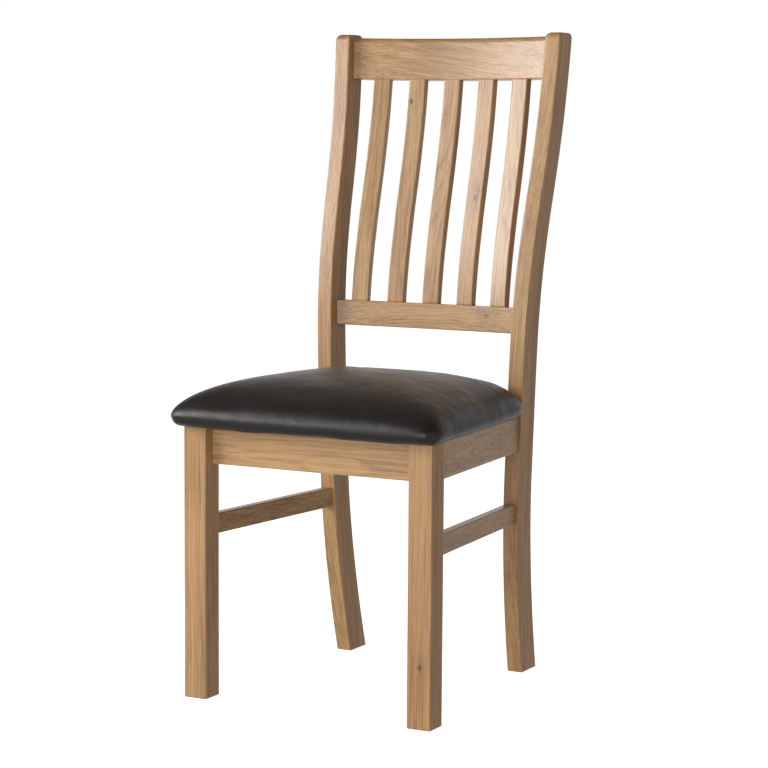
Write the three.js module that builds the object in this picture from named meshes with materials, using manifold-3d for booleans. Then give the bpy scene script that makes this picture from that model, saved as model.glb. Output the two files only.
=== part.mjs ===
// Dining chair in oak with a padded leather seat, in millimetres, +Z up, -Y to the front.
// Two square front legs and two sawn S-shaped back posts carry four seat rails, two side
// stretchers, a bowed lower back rail and a bowed crest rail with five slats between them.
// Rails meet legs in mortise and tenon joints. Corner blocks are screwed into the seat rails,
// and one more screw through each block holds the seat pad: plywood, foam, leather and a
// dust cover. The script's own Y starts at the front legs' front face; the last lines move
// the origin to the middle of the footprint.
import * as THREE from 'three';
import { mergeVertices } from 'three/addons/utils/BufferGeometryUtils.js';
import Module from 'manifold-3d';

// ---- Driving dimensions ---------------------------------------------------------------

const FIT = 0.3;                  // glue line or air between two pieces that touch
const ARRIS = 1.5;                // small chamfer on the legs and posts

const OVERALL_HEIGHT = 1050;      // floor to the tops of the back posts
const FRONT_WIDTH = 436;          // over the front legs
const BACK_WIDTH_FLOOR = 351;     // over the back posts at the floor
const BACK_WIDTH_TOP = 417;       // over the back posts at the top: they splay outwards
const SEAT_DEPTH = 370;           // front legs' front face to back posts' front face
const FRAME_HEIGHT = 432;         // floor to the top of the legs and seat rails

const LEG_SIZE = 40;              // front leg, square
const POST_THICKNESS = 27;        // back post, seen from the front
const POST_DEPTH_FOOT = 55;
const POST_DEPTH_SEAT = 51.5;
const POST_DEPTH_TOP = 48;
const POST_TOP_FRONT_RADIUS = 10.5;
const POST_TOP_BACK_RADIUS = 6.5;
const FOOT_SWEEP = 44.5;          // how far a back foot stands behind the seat's back edge
const FOOT_BEND_HEIGHT = 330;     // the sweep to the foot starts here
const BACK_SWEEP = 87.5;          // how far the post's top leans behind the seat
const BACK_BEND_HEIGHT = 500;     // the sweep of the back starts here
const FOOT_SWEEP_POWER = 1.85;    // how quickly the foot sweeps away

const RAIL_HEIGHT = 60;
const SIDE_RAIL_HEIGHT = 57.5;
const REAR_RAIL_SETBACK = 1;      // rear rail's front face behind the posts' front faces
const RAIL_THICKNESS = 20;
const SIDE_RAIL_INSET = 4.5;      // side rail's outer face behind the legs' outer faces

const STRETCHER_HEIGHT = 32.6;
const STRETCHER_THICKNESS = 16;
const STRETCHER_BOTTOM = 255.8;
const STRETCHER_INSET_FRONT = 12;
const STRETCHER_INSET_BACK = 5.5;

const BOW_RADIUS = 950;           // plan curve of both back rails and of the row of slats
const BOW_SETBACK = 17;           // the back rails' front faces behind the posts', at the ends
const CREST_HEIGHT = 70;
const CREST_THICKNESS = 22;
const CREST_DROP = 4;               // crest rail's top below the tops of the posts
const CREST_TOP_RADIUS = 9;
const LOWER_RAIL_HEIGHT = 42.3;
const LOWER_RAIL_THICKNESS = 20;
const LOWER_RAIL_TOP = 606.3;
const LOWER_RAIL_RADIUS = 2;      // lower rail's rounded top edges

const SLAT_COUNT = 5;
const SLAT_WIDTH = 29.8;
const SLAT_THICKNESS = 14.5;
const SLAT_PITCH = 64.5;
const SLAT_BEHIND_RAILS = 0.8;    // slats' faces behind the faces of both back rails

const TENON_LENGTH = 18;          // side rails' front tenons and both back rails' tenons
const SIDE_TENON_LENGTH = 12;     // side rails' tenons in the back posts
const REAR_TENON_LENGTH = 13;     // rear rail's tenons, just behind those of the side rails
const TENON_WEB = 1.5;            // wood left between two tenons in one leg or post
const TENON_THICKNESS = 10;
const TENON_SHOULDER = 5;         // how much lower than its rail a tenon is, at each edge
const STRETCHER_TENON_LENGTH = 12;
const STRETCHER_TENON_THICKNESS = 8;
const SLAT_TENON_LENGTH = 12;
const SLAT_TENON_SHOULDER = 3;

const BLOCK_LEG = 85;             // corner block, along each rail before its tips are blunted
const BLOCK_HEIGHT = 22;
const BLOCK_DROP = 4;             // block's top below the rails' tops
const BLOCK_NOSE = 12;            // flat that blunts each of the block's two tips

const SCREW_SHANK_RADIUS = 2;
const SCREW_HEAD_RADIUS = 4;
const SCREW_HEAD_DEPTH = 2.6;
const BLOCK_SCREW_BITE = 10;      // how deep a block screw's tip stands in its rail
const SEAT_SCREW_BITE = 8;        // how deep a seat screw's tip stands in the seat board
const BLOCK_SCREW_SPREAD = 22;    // each block screw's distance from the block's middle

const PAD_FRONT_OVERHANG = 30;    // leather past the front legs' front faces
const PAD_SIDE_OVERHANG_FRONT = 20;
const PAD_SIDE_OVERHANG_BACK = 11;
const PAD_BACK_GAP = 1.5;         // leather to the posts' front faces
const PAD_CROWN = 61.5;           // top of the pad above its widest line
const PAD_WIDEST = 17;            // widest line above the frame
const PAD_TUCK = 12;              // how far the underside's edge is drawn in
const PAD_CORNER_POWER = 14;      // higher is a squarer corner
const LEATHER = 1.2;
const LEATHER_TURN_UNDER = 22;    // leather stapled under the board's edge
const BOARD_THICKNESS = 12;
const EDGE_FOAM = 13;             // foam round the board's edge
const DUST_COVER = 0.5;
const DUST_COVER_GAP = 2;         // dust cover's edge to the turned-under leather

const OAK = { color: 0xc49a66, roughness: 0.55, metalness: 0 };
const LEATHER_FINISH = { color: 0x2a2320, roughness: 0.4, metalness: 0 };
const FOAM_FINISH = { color: 0xd9cfa8, roughness: 0.95, metalness: 0 };
const PLYWOOD = { color: 0xb99a6b, roughness: 0.8, metalness: 0 };
const BLACK_CLOTH = { color: 0x17171a, roughness: 0.95, metalness: 0 };
const ZINC = { color: 0xb9b7a6, roughness: 0.4, metalness: 0.9 };

// ---- Solids ---------------------------------------------------------------------------

const wasm = await Module();
wasm.setup();

/** A closed three.js geometry as a solid that can be cut and joined. */
function solidOf(geometry) {
  const bare = geometry.clone();
  bare.deleteAttribute('normal');
  bare.deleteAttribute('uv');
  const merged = mergeVertices(bare, 1e-4);
  return new wasm.Manifold(new wasm.Mesh({
    numProp: 3,
    vertProperties: new Float32Array(merged.attributes.position.array),
    triVerts: new Uint32Array(merged.index.array),
  }));
}

/** A solid as a flat-shaded geometry. */
function geometryOf(solid) {
  const mesh = solid.getMesh();
  const geometry = new THREE.BufferGeometry();
  geometry.setAttribute('position', new THREE.BufferAttribute(mesh.vertProperties, 3));
  geometry.setIndex(new THREE.BufferAttribute(mesh.triVerts, 1));
  const flat = geometry.toNonIndexed();
  flat.computeVertexNormals();
  return flat;
}

const cut = (solid, ...tools) => tools.reduce((rest, tool) => rest.subtract(tool), solid);
const join = (solid, ...others) => others.reduce((whole, other) => whole.add(other), solid);
const shapeOf = (points) => new THREE.Shape(points.map(([x, y]) => new THREE.Vector2(x, y)));

/** Box between two corners. */
function block(x0, x1, y0, y1, z0, z1) {
  const box = new THREE.BoxGeometry(x1 - x0, y1 - y0, z1 - z0);
  return solidOf(box.translate((x0 + x1) / 2, (y0 + y1) / 2, (z0 + z1) / 2));
}

/** Plan outline of [x, y] points, raised from z0 to z1. */
function raised(points, z0, z1) {
  const prism = new THREE.ExtrudeGeometry(shapeOf(points), { depth: z1 - z0, bevelEnabled: false });
  return solidOf(prism.translate(0, 0, z0));
}

/** Side outline of [y, z] points, from x0 to x1, with an optional chamfer round both faces. */
function acrossX(points, x0, x1, chamfer = 0) {
  const prism = new THREE.ExtrudeGeometry(shapeOf(points), {
    depth: x1 - x0 - 2 * chamfer,
    bevelEnabled: chamfer > 0,
    bevelThickness: chamfer,
    bevelSize: chamfer,
    bevelOffset: -chamfer,
    bevelSegments: 1,
  });
  const axes = new THREE.Matrix4().makeBasis(
    new THREE.Vector3(0, 1, 0), new THREE.Vector3(0, 0, 1), new THREE.Vector3(1, 0, 0));
  prism.translate(0, 0, x0 + chamfer).applyMatrix4(axes);
  return prism;
}

const chair = new THREE.Group();
const frame = new THREE.Group();
const seat = new THREE.Group();
chair.add(frame, seat);

/** Adds one named piece to a group. */
function addPiece(group, name, geometry, finish) {
  const mesh = new THREE.Mesh(geometry, new THREE.MeshStandardMaterial(finish));
  mesh.name = name;
  group.add(mesh);
  return mesh;
}

const SIDES = [['left', -1], ['right', 1]];

// ---- The back posts' shape ------------------------------------------------------------

// The back's sweep from the seat to the top: share of the height, share of the sweep.
const BACK_TEMPLATE = new THREE.SplineCurve([
  [0, 0], [0.15, 0.033], [0.3, 0.149], [0.45, 0.353],
  [0.6, 0.596], [0.75, 0.8], [0.9, 0.937], [1, 1],
].map(([height, sweep]) => new THREE.Vector2(height, sweep)));
const BACK_HEIGHT = OVERALL_HEIGHT - BACK_BEND_HEIGHT;
const BACK_LINE = BACK_TEMPLATE.getPoints(70);

/** The post's front face at a height: straight at the seat, swept back above and below. */
function postFront(z) {
  if (z < FOOT_BEND_HEIGHT) {
    const share = (FOOT_BEND_HEIGHT - z) / FOOT_BEND_HEIGHT;
    return SEAT_DEPTH + FOOT_SWEEP * Math.pow(share, FOOT_SWEEP_POWER);
  }
  const share = THREE.MathUtils.clamp((z - BACK_BEND_HEIGHT) / BACK_HEIGHT, 0, 1);
  const after = Math.max(1, BACK_LINE.findIndex((point) => point.x >= share - 1e-9));
  const [low, high] = [BACK_LINE[after - 1], BACK_LINE[after]];
  const sweep = THREE.MathUtils.mapLinear(share, low.x, high.x, low.y, high.y);
  return SEAT_DEPTH + BACK_SWEEP * sweep;
}

/** The post's depth, front to back, at a height. */
function postDepth(z) {
  const toFoot = 1 - THREE.MathUtils.smoothstep(z, 0, FOOT_BEND_HEIGHT);
  const toTop = THREE.MathUtils.smoothstep(z, BACK_BEND_HEIGHT, BACK_BEND_HEIGHT + BACK_HEIGHT / 2);
  return POST_DEPTH_SEAT
    + (POST_DEPTH_FOOT - POST_DEPTH_SEAT) * toFoot
    + (POST_DEPTH_TOP - POST_DEPTH_SEAT) * toTop;
}

const POST_SPLAY = (BACK_WIDTH_TOP - BACK_WIDTH_FLOOR) / 2 / OVERALL_HEIGHT;
const postOuter = (z) => BACK_WIDTH_FLOOR / 2 + POST_SPLAY * z;
const postInner = (z) => postOuter(z) - POST_THICKNESS;

/** A back post without its mortises, grown by `grow` on every face for coping its neighbours. */
function postBlank(side, grow = 0) {
  const steps = 22;
  const heights = (radius) => Array.from(
    { length: steps + 1 }, (_, i) => (i / steps) * (OVERALL_HEIGHT - radius));
  /** The rounded corner at the top of one face, up to the crown; `inward` is -1 or 1. */
  const corner = (y, radius, inward) => [1, 2, 3, 4].map((step) => {
    const angle = (step / 4) * (Math.PI / 2);
    return [y + inward * radius * (1 - Math.cos(angle)),
      OVERALL_HEIGHT - radius + (radius + grow) * Math.sin(angle)];
  });
  const back = heights(POST_TOP_BACK_RADIUS).map((z) => [postFront(z) + postDepth(z) + grow, z]);
  const front = heights(POST_TOP_FRONT_RADIUS).map((z) => [postFront(z) - grow, z]);
  const outline = [...back, ...corner(back[steps][0], POST_TOP_BACK_RADIUS, -1),
    ...corner(front[steps][0], POST_TOP_FRONT_RADIUS, 1).reverse(), ...front.reverse()];
  const inner = BACK_WIDTH_FLOOR / 2 - POST_THICKNESS - grow;
  const outer = BACK_WIDTH_FLOOR / 2 + grow;
  const board = side > 0
    ? acrossX(outline, inner, outer, grow > 0 ? 0 : ARRIS)
    : acrossX(outline, -outer, -inner, grow > 0 ? 0 : ARRIS);
  // Splaying slides each height sideways, so the foot and the top stay level.
  const splay = new THREE.Matrix4().set(
    1, 0, side * POST_SPLAY, 0, 0, 1, 0, 0, 0, 0, 1, 0, 0, 0, 0, 1);
  return solidOf(board.applyMatrix4(splay));
}

// ---- Rails that run from front to back ------------------------------------------------

/** Where a side rail or stretcher runs: the line of its outer face, in plan. */
function sideLine(z0, z1, insetFront, insetBack) {
  const middle = (z0 + z1) / 2;
  const front = [FRONT_WIDTH / 2 - insetFront, LEG_SIZE];
  const back = [postOuter(middle) - insetBack, postFront(middle)];
  const slope = (back[0] - front[0]) / (back[1] - front[1]);
  return { at: (y) => front[0] + slope * (y - front[1]), stretch: Math.hypot(1, slope), back };
}

/** A bar along that line between two depths, from `from` to `to` behind its outer face. */
function sideBar(line, side, y0, y1, from, to, z0, z1) {
  const corners = [[y0, from], [y1, from], [y1, to], [y0, to]];
  return raised(
    corners.map(([y, behind]) => [side * (line.at(y) - behind * line.stretch), y]), z0, z1);
}

/** A side member, its tenons and the mortises that they need, on one side of the chair. */
function sideMember(side, z0, z1, thickness, insets, tenonLengths, tenonThickness) {
  const line = sideLine(z0, z1, ...insets);
  const cheek = (thickness - tenonThickness) / 2;
  const reach = line.back[1] + tenonLengths[1];
  const body = (grow) => sideBar(
    line, side, LEG_SIZE + FIT - grow, line.back[1] + tenonThickness / 2,
    -grow, thickness + grow, z0 - grow, z1 + grow);
  const tongue = (grow) => sideBar(
    line, side, LEG_SIZE - tenonLengths[0] - grow, reach + grow,
    cheek - grow, thickness - cheek + grow,
    z0 + TENON_SHOULDER - grow, z1 - TENON_SHOULDER + grow);
  return {
    line,
    body: body(0),
    grown: body(FIT),
    solid: join(cut(body(0), postBlank(side, FIT)), tongue(0)),
    mortise: tongue(FIT),
  };
}

const railBottom = FRAME_HEIGHT - RAIL_HEIGHT;
const sideRails = new Map(SIDES.map(([name, side]) => [name, sideMember(
  side, FRAME_HEIGHT - SIDE_RAIL_HEIGHT, FRAME_HEIGHT, RAIL_THICKNESS,
  [SIDE_RAIL_INSET, SIDE_RAIL_INSET], [TENON_LENGTH, SIDE_TENON_LENGTH], TENON_THICKNESS)]));
const stretchers = new Map(SIDES.map(([name, side]) => [name, sideMember(
  side, STRETCHER_BOTTOM, STRETCHER_BOTTOM + STRETCHER_HEIGHT, STRETCHER_THICKNESS,
  [STRETCHER_INSET_FRONT, STRETCHER_INSET_BACK],
  [STRETCHER_TENON_LENGTH, STRETCHER_TENON_LENGTH], STRETCHER_TENON_THICKNESS)]));

// ---- Front and rear seat rails --------------------------------------------------------

const legInner = FRONT_WIDTH / 2 - LEG_SIZE;
const frontRailFace = LEG_SIZE - RAIL_THICKNESS;
const cheek = (RAIL_THICKNESS - TENON_THICKNESS) / 2;
// The rear rail reaches forward to the pad; its tenons stay behind the side rails' tenons.
const rearRailFace = SEAT_DEPTH + REAR_RAIL_SETBACK;
const rearTongueFace = SEAT_DEPTH + SIDE_TENON_LENGTH + TENON_WEB - cheek;
const rearRailThickness = rearTongueFace + RAIL_THICKNESS - rearRailFace;

/** A rail across the chair: body to `reach`, tenons on past it, both grown by `grow`. */
function crossRail(face, thickness, reach, grow) {
  return block(-reach, reach, face - grow, face + thickness + grow,
    railBottom - grow, FRAME_HEIGHT + grow);
}

function crossTongue(face, reach, grow) {
  return block(-reach - grow, reach + grow, face + cheek - grow,
    face + RAIL_THICKNESS - cheek + grow,
    railBottom + TENON_SHOULDER - grow, FRAME_HEIGHT - TENON_SHOULDER + grow);
}

// The front rail's tenons stop just short of the side rails' tenons.
const { line: rightLine } = sideRails.get('right');
const frontReach = rightLine.at(LEG_SIZE) - (RAIL_THICKNESS - cheek) * rightLine.stretch - TENON_WEB;
const frontTongue = (grow) => crossTongue(frontRailFace, frontReach, grow);
const rearReach = postInner(railBottom) + REAR_TENON_LENGTH;
const rearTongue = (grow) => crossTongue(rearTongueFace, rearReach, grow);
const bothPosts = SIDES.map(([, side]) => postBlank(side, FIT));
const frontRail = join(
  crossRail(frontRailFace, RAIL_THICKNESS, legInner - FIT, 0), frontTongue(0));
const rearRail = join(
  cut(crossRail(rearRailFace, rearRailThickness, postOuter(railBottom), 0), ...bothPosts),
  rearTongue(0));

// ---- The back: crest rail, lower rail and slats ---------------------------------------

/** How far the bow stands behind its two ends, at a distance from the chair's middle. */
const bow = (x, end) => Math.sqrt(BOW_RADIUS ** 2 - x ** 2) - Math.sqrt(BOW_RADIUS ** 2 - end ** 2);

/** The line that a bowed rail follows, a little into both posts. */
class BowPath extends THREE.Curve {
  constructor(end) {
    super();
    this.end = end;
  }

  getPoint(t, target = new THREE.Vector3()) {
    const reach = this.end + POST_THICKNESS / 2;
    const x = THREE.MathUtils.lerp(-reach, reach, t);
    return target.set(x, bow(x, this.end), 0);
  }
}

/** A rail of the back: where its lower front edge is at its ends, and how far it leans. */
function backRail(bottom, height, thickness, radius) {
  const lean = Math.atan2(postFront(bottom + height) - postFront(bottom), height);
  const end = postInner(bottom);
  return { bottom, height, thickness, radius, lean, end, face: postFront(bottom) + BOW_SETBACK };
}

/** A bowed rail's body: a section with rounded top edges, swept along the bow, leaning back. */
function bowedBody(rail, grow = 0) {
  // Along this path the section's own x points down and its y points back.
  const section = new THREE.Shape();
  const [low, high] = [-grow, rail.thickness + grow];
  const top = -rail.height - grow;
  section.moveTo(grow, low);
  section.lineTo(grow, high);
  section.lineTo(top + rail.radius, high);
  section.absarc(
    top + rail.radius, high - rail.radius, rail.radius, Math.PI / 2, Math.PI, false);
  section.absarc(
    top + rail.radius, low + rail.radius, rail.radius, Math.PI, Math.PI * 1.5, false);
  section.closePath();
  const swept = new THREE.ExtrudeGeometry(
    section, { steps: 24, curveSegments: 4, extrudePath: new BowPath(rail.end) });
  return solidOf(swept.rotateX(-rail.lean).translate(0, rail.face, rail.bottom));
}

/** The straight tongues at both ends of a back rail, `from` the middle, grown by `grow`. */
function backTongues(rail, from, grow) {
  const inset = (rail.thickness - TENON_THICKNESS) / 2;
  const [low, high] = [TENON_SHOULDER - grow, rail.height - rail.radius + grow];
  const ends = SIDES.map(([, side]) => {
    const [near, far] = [from, rail.end + TENON_LENGTH + grow];
    const tongue = new THREE.BoxGeometry(far - near, TENON_THICKNESS + 2 * grow, high - low);
    tongue.translate((side * (near + far)) / 2, inset + TENON_THICKNESS / 2, (low + high) / 2);
    return solidOf(tongue.rotateX(-rail.lean).translate(0, rail.face, rail.bottom));
  });
  return join(...ends);
}

const crestBottom = OVERALL_HEIGHT - CREST_DROP - CREST_HEIGHT;
const crest = backRail(crestBottom, CREST_HEIGHT, CREST_THICKNESS, CREST_TOP_RADIUS);
const lowerBottom = LOWER_RAIL_TOP - LOWER_RAIL_HEIGHT;
const lower = backRail(lowerBottom, LOWER_RAIL_HEIGHT, LOWER_RAIL_THICKNESS, LOWER_RAIL_RADIUS);

/** The middle slat's front face at a height; the others stand forward of it on the bow. */
const slatFront = (z) => postFront(z) + BOW_SETBACK + bow(0, crest.end) + SLAT_BEHIND_RAILS;
lower.face = slatFront(lowerBottom) - SLAT_BEHIND_RAILS - bow(0, lower.end);

/** One slat from a low to a high end: its section turned to face the bow's centre, bent straight back. */
function slatBoard(place, width, thickness, low, high) {
  const steps = 14;
  const x = (place - (SLAT_COUNT - 1) / 2) * SLAT_PITCH;
  const turn = -Math.asin(x / BOW_RADIUS);
  const points = [];
  const sides = [];
  for (let step = 0; step <= steps; step += 1) {
    const z = low + (high - low) * (step / steps);
    const stretch = Math.hypot(1, (postFront(z + 1) - postFront(z - 1)) / 2);
    const depth = slatFront(z) + SLAT_THICKNESS / 2 + bow(x, 0);
    [[-1, -1], [1, -1], [1, 1], [-1, 1]].forEach(([across, back], corner) => {
      const at = new THREE.Vector2((across * width) / 2, (back * thickness * stretch) / 2);
      at.rotateAround(new THREE.Vector2(), turn);
      points.push(x + at.x, depth + at.y, z);
      const [here, next] = [4 * step + corner, 4 * step + ((corner + 1) % 4)];
      if (step < steps) sides.push(here, next, next + 4, here, next + 4, here + 4);
    });
  }
  const top = 4 * steps;
  const ends = [0, 2, 1, 0, 3, 2, top, top + 1, top + 2, top, top + 2, top + 3];
  const board = new THREE.BufferGeometry();
  board.setAttribute('position', new THREE.Float32BufferAttribute(points, 3));
  board.setIndex([...sides, ...ends]);
  return solidOf(board);
}

const places = Array.from({ length: SLAT_COUNT }, (_, place) => place);
const slatLow = LOWER_RAIL_TOP - SLAT_TENON_LENGTH;
const slatHigh = crestBottom + SLAT_TENON_LENGTH;
const slatTenon = (place, grow) => slatBoard(
  place, SLAT_WIDTH - 2 * SLAT_TENON_SHOULDER + 2 * grow,
  SLAT_THICKNESS - 2 * SLAT_TENON_SHOULDER + 2 * grow, slatLow - grow, slatHigh + grow);
const railsGrown = [bowedBody(crest, FIT), bowedBody(lower, FIT)];
const slats = places.map((place) => {
  const between = cut(
    slatBoard(place, SLAT_WIDTH, SLAT_THICKNESS, slatLow, slatHigh), ...railsGrown);
  return join(between, slatTenon(place, 0));
});
const slatMortises = places.map((place) => slatTenon(place, FIT));
const [crestRail, lowerRail] = [crest, lower].map((rail) => cut(
  join(cut(bowedBody(rail), ...bothPosts), backTongues(rail, rail.end - ARRIS, 0)),
  ...slatMortises));

// ---- Corner blocks and screws ---------------------------------------------------------

const padBottom = FRAME_HEIGHT + FIT;
const boardBottom = padBottom + LEATHER + FIT;

/** Countersunk wood screw, head up at the origin, tip down; `grow` makes the hole for it. */
function screwGeometry(length, grow = 0) {
  const shank = SCREW_SHANK_RADIUS + grow;
  const head = SCREW_HEAD_RADIUS + grow;
  const tip = -length - grow;
  const outline = [
    [0, tip], [shank, tip + 2 * shank], [shank, -SCREW_HEAD_DEPTH - grow],
    [head, -grow], [head, 4 * grow], [0, 4 * grow],
  ].filter(([radius, z], index, all) => index === 0 || z !== all[index - 1][1] || radius === 0);
  const lathe = new THREE.LatheGeometry(outline.map(([r, z]) => new THREE.Vector2(r, z)), 12);
  return lathe.rotateX(Math.PI / 2);
}

/** Position and direction of a screw: `head` is its head's centre, `away` points at its head. */
function screwPlace(head, away) {
  const turn = new THREE.Quaternion().setFromUnitVectors(new THREE.Vector3(0, 0, 1), away);
  return new THREE.Matrix4().compose(head, turn, new THREE.Vector3(1, 1, 1));
}

const screwHole = (length, place) => solidOf(screwGeometry(length, FIT).applyMatrix4(place));

/** A corner block, coped to its legs and rails, with its three screws. */
function cornerBlock(side, forward, cornerX, cornerY, neighbours) {
  const top = FRAME_HEIGHT - BLOCK_DROP;
  const bottom = top - BLOCK_HEIGHT;
  const into = RAIL_THICKNESS / 2;
  // Plan, from the corner: `a` runs in towards the chair's middle, `b` along the side rail.
  const at = (a, b) => [side * (cornerX - a), cornerY + forward * b];
  const long = BLOCK_LEG - BLOCK_NOSE;
  const outline = [
    at(-into, -into), at(long, -into), at(long, BLOCK_NOSE),
    at(BLOCK_NOSE, long), at(-into, long),
  ];
  const ordered = side * forward > 0 ? outline : [...outline].reverse();
  const blank = cut(raised(ordered, bottom, top), ...neighbours);
  const middle = (top + bottom) / 2;
  const away = new THREE.Vector3(-side, forward, 0).normalize();
  const offset = BLOCK_SCREW_SPREAD / Math.SQRT2;
  const length = (BLOCK_LEG / 2 - offset + BLOCK_SCREW_BITE) * Math.SQRT2;
  const screws = [-1, 1].map((step) => {
    const a = BLOCK_LEG / 2 + step * offset;
    const [x, y] = at(a, BLOCK_LEG - a);
    return [length, screwPlace(new THREE.Vector3(x, y, middle), away)];
  });
  const [seatX, seatY] = at(BLOCK_LEG * 0.13, BLOCK_LEG * 0.74);
  screws.push([boardBottom + SEAT_SCREW_BITE - bottom,
    screwPlace(new THREE.Vector3(seatX, seatY, bottom), new THREE.Vector3(0, 0, -1))]);
  const holes = screws.map(([length, place]) => screwHole(length, place));
  return { solid: cut(blank, ...holes), screws, holes };
}

/** A front leg without its mortises, chamfered round both ends and along its edges. */
function legBlank(side) {
  const half = LEG_SIZE / 2;
  const [outer, inner] = [half, half - ARRIS];
  const outline = [
    [-inner, -outer], [inner, -outer], [outer, -inner], [outer, inner],
    [inner, outer], [-inner, outer], [-outer, inner], [-outer, -inner],
  ];
  const leg = new THREE.ExtrudeGeometry(shapeOf(outline), {
    depth: FRAME_HEIGHT - 2 * ARRIS, bevelEnabled: true, bevelThickness: ARRIS,
    bevelSize: ARRIS, bevelOffset: -ARRIS, bevelSegments: 1,
  });
  return solidOf(leg.translate(side * (FRONT_WIDTH / 2 - half), half, ARRIS));
}

const crossRailsGrown = [
  crossRail(frontRailFace, RAIL_THICKNESS, legInner, FIT),
  crossRail(rearRailFace, rearRailThickness, postOuter(railBottom), FIT)];
const blocks = SIDES.flatMap(([name, side]) => {
  const rail = sideRails.get(name);
  const inside = (y) => rail.line.at(y) - RAIL_THICKNESS * rail.line.stretch;
  const legGrown = block(
    side > 0 ? legInner - FIT : -FRONT_WIDTH, side > 0 ? FRONT_WIDTH : FIT - legInner,
    -FIT, LEG_SIZE + FIT, 0, OVERALL_HEIGHT);
  const neighbours = [rail.grown, legGrown, postBlank(side, FIT), ...crossRailsGrown];
  return [
    [`corner_block_front_${name}`, name,
      cornerBlock(side, 1, inside(LEG_SIZE), LEG_SIZE, neighbours)],
    [`corner_block_rear_${name}`, name,
      cornerBlock(side, -1, inside(rearRailFace), rearRailFace, neighbours)],
  ];
});
const screwHoles = blocks.flatMap(([, , { holes }]) => holes);

// ---- The seat pad ---------------------------------------------------------------------

const padFront = -PAD_FRONT_OVERHANG;
const padBack = SEAT_DEPTH - PAD_BACK_GAP;
const padHalfFront = FRONT_WIDTH / 2 + PAD_SIDE_OVERHANG_FRONT;
const padHalfBack = postOuter(FRAME_HEIGHT) + PAD_SIDE_OVERHANG_BACK;
const padWidest = FRAME_HEIGHT + PAD_WIDEST;

/** Squares off a unit disc to the seat's plan, drawn in by `inset` all round. */
function seatPlan(x, y, inset) {
  const radius = Math.hypot(x, y);
  if (radius === 0) {
    return [0, (padFront + padBack) / 2];
  }
  // More of the disc's spokes are turned towards the four corners, where the outline bends.
  const even = Math.atan2(y, x);
  const angle = even + 0.17 * Math.sin(4 * even);
  const [c, s] = [Math.cos(angle), Math.sin(angle)];
  const power = PAD_CORNER_POWER;
  const reach = radius / (Math.abs(c) ** power + Math.abs(s) ** power) ** (1 / power);
  const depth = THREE.MathUtils.mapLinear(s * reach, -1, 1, padFront + inset, padBack - inset);
  const width = THREE.MathUtils.mapLinear(depth, padFront, padBack, padHalfFront, padHalfBack);
  return [c * reach * (width - inset), depth];
}

/** A turned form squared off to the seat's plan: [radius, height] points, from bottom to top. */
function seatForm(profile, inset) {
  const points = profile.map(([radius, z]) => new THREE.Vector2(radius, z));
  const lathe = new THREE.LatheGeometry(points, 48).rotateX(Math.PI / 2);
  const { position } = lathe.attributes;
  for (let i = 0; i < position.count; i += 1) {
    const [x, y] = seatPlan(position.getX(i), position.getY(i), inset);
    position.setXY(i, x, y);
  }
  return solidOf(lathe);
}

/** The pad's outer form, drawn in by `inset`: flat below, tucked in, bulged and crowned. */
function padForm(inset) {
  const base = padBottom + inset;
  const tuck = PAD_TUCK / padHalfFront;
  const profile = [[0, base], [0.5, base], [1 - tuck, base]];
  for (let step = 1; step <= 4; step += 1) {
    const angle = (step / 4) * (Math.PI / 2);
    profile.push([
      1 - tuck * (1 - Math.sin(angle)), padWidest - (padWidest - base) * Math.cos(angle)]);
  }
  for (const radius of [0.995, 0.98, 0.95, 0.9, 0.83, 0.74, 0.62, 0.45, 0.25, 0]) {
    const share = (1 - radius ** 3.5) ** (1 / 1.6);
    profile.push([radius, padWidest + (PAD_CROWN - inset) * share]);
  }
  return seatForm(profile, inset);
}

/** A flat sheet to the seat's plan. */
const seatSheet = (inset, z0, z1) => seatForm([[0, z0], [1, z0], [1, z1], [0, z1]], inset);

const boardTop = boardBottom + BOARD_THICKNESS;
const boardInset = LEATHER + FIT + EDGE_FOAM;
const openingInset = boardInset + LEATHER_TURN_UNDER;
const seatCover = cut(padForm(0), padForm(LEATHER),
  seatSheet(openingInset, FRAME_HEIGHT - 1, boardBottom));
const seatFoam = cut(padForm(LEATHER + FIT),
  seatSheet(boardInset - FIT, FRAME_HEIGHT, boardTop + FIT));
const seatBoard = cut(seatSheet(boardInset, boardBottom, boardTop), ...screwHoles);
const dustCover = cut(seatSheet(openingInset + DUST_COVER_GAP, boardBottom - FIT - DUST_COVER,
  boardBottom - FIT), ...screwHoles);

// ---- Assembly -------------------------------------------------------------------------

for (const [name, side] of SIDES) {
  const [rail, stretcher] = [sideRails.get(name), stretchers.get(name)];
  const leg = cut(legBlank(side), frontTongue(FIT), rail.mortise, stretcher.mortise);
  const post = cut(postBlank(side), rail.mortise, stretcher.mortise, rearTongue(FIT),
    backTongues(crest, 0, FIT), backTongues(lower, 0, FIT));
  addPiece(frame, `front_leg_${name}`, geometryOf(leg), OAK);
  addPiece(frame, `back_post_${name}`, geometryOf(post), OAK);
  addPiece(frame, `side_rail_${name}`, geometryOf(cut(rail.solid, ...screwHoles)), OAK);
  addPiece(frame, `side_stretcher_${name}`, geometryOf(stretcher.solid), OAK);
}
addPiece(frame, 'front_rail', geometryOf(cut(frontRail, ...screwHoles)), OAK);
addPiece(frame, 'rear_rail', geometryOf(cut(rearRail, ...screwHoles)), OAK);
addPiece(frame, 'crest_rail', geometryOf(crestRail), OAK);
addPiece(frame, 'lower_back_rail', geometryOf(lowerRail), OAK);
slats.forEach((slat, place) => addPiece(frame, `back_slat_${place + 1}`, geometryOf(slat), OAK));

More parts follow.
